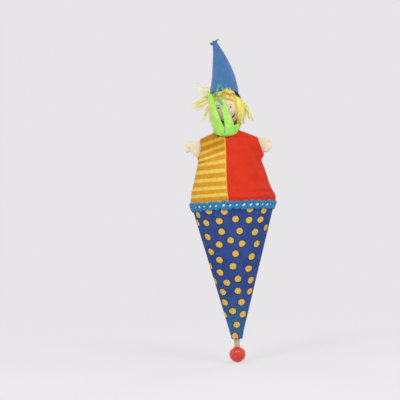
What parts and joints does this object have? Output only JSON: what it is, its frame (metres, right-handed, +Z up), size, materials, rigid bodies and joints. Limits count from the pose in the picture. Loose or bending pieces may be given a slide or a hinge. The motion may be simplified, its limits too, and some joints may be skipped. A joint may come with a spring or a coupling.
{
  "type": "pop-up cone puppet",
  "caption": "Pop-up clown puppet on a stick that slides and turns through a card cone, with a two-colour cloth dress, felt hands, wooden head and pointed felt hat.",
  "frame": {"origin": "centre of the grip ball on the lower end of the stick", "axes": "+Z up along the stick towards the hat, -Y is the way the face looks, +X towards the red half of the dress"},
  "size_m": [0.0812, 0.0812, 0.2986],
  "materials": {
    "red_lacquer": "glossy red lacquer over turned wood",
    "bare_wood": "bare sanded dowel",
    "painted_skin": "satin skin-coloured paint over turned wood",
    "yellow_fibre": "loose dyed fibre",
    "blue_felt": "pressed felt",
    "dark_felt": "dark felt strip",
    "dark_thread": "frayed dark thread",
    "binding_thread": "wound cotton thread",
    "lime_ribbon": "lime-green woven ribbon",
    "striped_cotton": "cotton with orange and yellow stripes",
    "red_cotton": "plain red cotton",
    "cream_felt": "cream felt",
    "cone_card": "rolled card",
    "dotted_cotton": "blue cotton with golden dots",
    "blue_braid": "looped blue braid with white eyelets"
  },
  "bodies": {
    "puppet": {"grip_ball": "red_lacquer", "stick": "bare_wood", "head": "painted_skin", "hair_crown": "yellow_fibre", "hair_fringe": "yellow_fibre", "hair_tuft_striped_side": "yellow_fibre", "hair_tuft_red_side": "yellow_fibre", "hat": "blue_felt", "hat_inner_band": "dark_felt", "hat_tip_tie": "dark_thread", "neck_binding": "binding_thread", "neck_ribbon": "lime_ribbon", "ribbon_knot": "lime_ribbon", "ribbon_tail_striped_side": "lime_ribbon", "ribbon_tail_red_side": "lime_ribbon"},
    "dress": {"dress_front_striped": "striped_cotton", "dress_front_red": "red_cotton", "dress_back_striped": "striped_cotton", "dress_back_red": "red_cotton"},
    "cone": {"cone_card": "cone_card", "cone_cover": "dotted_cotton", "rim_braid": "blue_braid"},
    "arm_striped_side": {"hand_striped_side": "cream_felt"},
    "arm_red_side": {"hand_red_side": "cream_felt"}
  },
  "joints": [
    {"name": "turn", "type": "hinge", "parent": "puppet", "child": "dress", "pos_m": [0, 0, 0], "axis": [0, 0, 1], "range_deg": [-30, 30], "stiffness_Nm_per_rad": 0.002},
    {"name": "cone_slide", "type": "slide", "parent": "dress", "child": "cone", "axis": [0, 0, 1], "range_m": [0, 0.1], "deforming": ["dress_front_striped", "dress_front_red", "dress_back_striped", "dress_back_red", "hair_tuft_striped_side", "hair_tuft_red_side"]},
    {"name": "fold_striped_side", "type": "hinge", "parent": "dress", "child": "arm_striped_side", "pos_m": [-0.002, 0, 0.208], "axis": [0, 1, 0], "range_deg": [0, 80]},
    {"name": "fold_red_side", "type": "hinge", "parent": "dress", "child": "arm_red_side", "pos_m": [0.002, 0, 0.208], "axis": [0, -1, 0], "range_deg": [0, 80]}
  ],
  "couplings": [
    {"joint": "fold_striped_side", "follows": "cone_slide", "rad_per_m": 13.95},
    {"joint": "fold_red_side", "follows": "cone_slide", "rad_per_m": 13.95}
  ]
}
